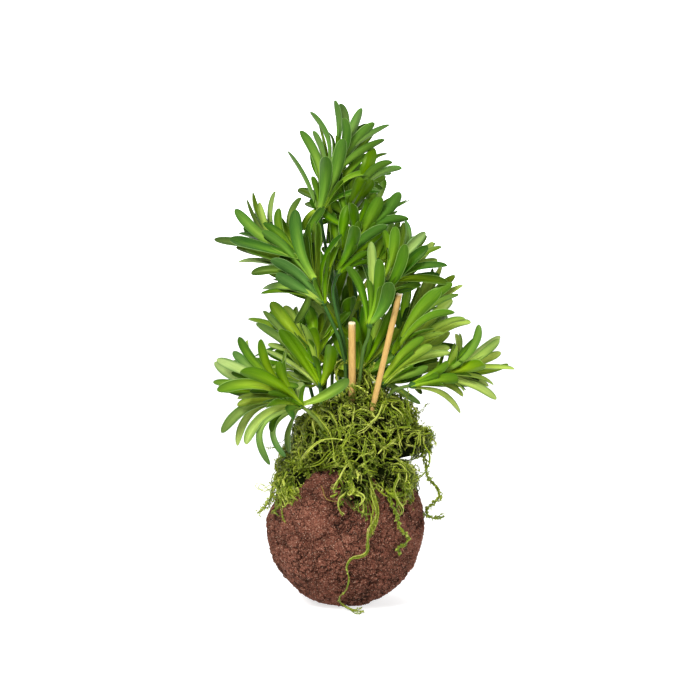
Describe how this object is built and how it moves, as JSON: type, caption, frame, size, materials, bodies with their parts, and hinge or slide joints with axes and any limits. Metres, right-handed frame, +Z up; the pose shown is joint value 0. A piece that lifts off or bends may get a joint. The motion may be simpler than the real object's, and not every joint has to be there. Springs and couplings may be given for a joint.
{
  "type": "moss ball plant",
  "caption": "Kokedama: a leafy plant in a round soil ball with a cap of stringy moss and bamboo support sticks, standing on a small flat spot.",
  "frame": {"origin": "centre of the small flat spot the soil ball rests on", "axes": "+Z up along the plant, -Y towards the front, the side the sticks stand on, +X to the right seen from the front"},
  "size_m": [0.2088, 0.1677, 0.3535],
  "materials": {
    "leaf": "satin green leaf, yellower at the base and bluer at the tip",
    "stem": "satin green stem",
    "soil": "dry crumbly dark brown soil",
    "moss": "stringy olive green moss",
    "bamboo": "plain split bamboo with fine lengthwise fibres"
  },
  "bodies": {
    "root": {"leaves_back_left_1": "leaf", "leaves_back_left_2": "leaf", "leaves_back_low_1": "leaf", "leaves_back_right_1": "leaf", "leaves_back_right_2": "leaf", "leaves_back_side_1": "leaf", "leaves_back_upper_1": "leaf", "leaves_back_upper_2": "leaf", "leaves_centre_1": "leaf", "leaves_centre_low_1": "leaf", "leaves_left_low_1": "leaf", "leaves_left_low_2": "leaf", "leaves_left_low_3": "leaf", "leaves_left_mid_1": "leaf", "leaves_left_mid_2": "leaf", "leaves_left_mid_3": "leaf", "leaves_right_low_1": "leaf", "leaves_right_low_2": "leaf", "leaves_right_mid_1": "leaf", "leaves_right_mid_2": "leaf", "leaves_right_mid_3": "leaf", "leaves_right_out_1": "leaf", "leaves_right_out_2": "leaf", "leaves_right_out_3": "leaf", "leaves_top_1": "leaf", "leaves_top_2": "leaf", "leaves_top_3": "leaf", "leaves_top_back_1": "leaf", "leaves_top_back_2": "leaf", "leaves_upper_left_1": "leaf", "leaves_upper_left_2": "leaf", "leaves_upper_left_3": "leaf", "leaves_upper_right_1": "leaf", "leaves_upper_right_2": "leaf", "leaves_upper_right_3": "leaf", "moss_cap": "moss", "moss_strand_dangling": "moss", "moss_strand_front": "moss", "moss_strand_left": "moss", "moss_strand_right": "moss", "soil_ball": "soil", "stem_back_left": "stem", "stem_back_low": "stem", "stem_back_right": "stem", "stem_back_side": "stem", "stem_back_upper": "stem", "stem_centre": "stem", "stem_centre_low": "stem", "stem_left_low": "stem", "stem_left_mid": "stem", "stem_right_low": "stem", "stem_right_mid": "stem", "stem_right_out": "stem", "stem_top": "stem", "stem_top_back": "stem", "stem_upper_left": "stem", "stem_upper_right": "stem", "stick_left": "bamboo", "stick_right": "bamboo"}
  },
  "joints": []
}
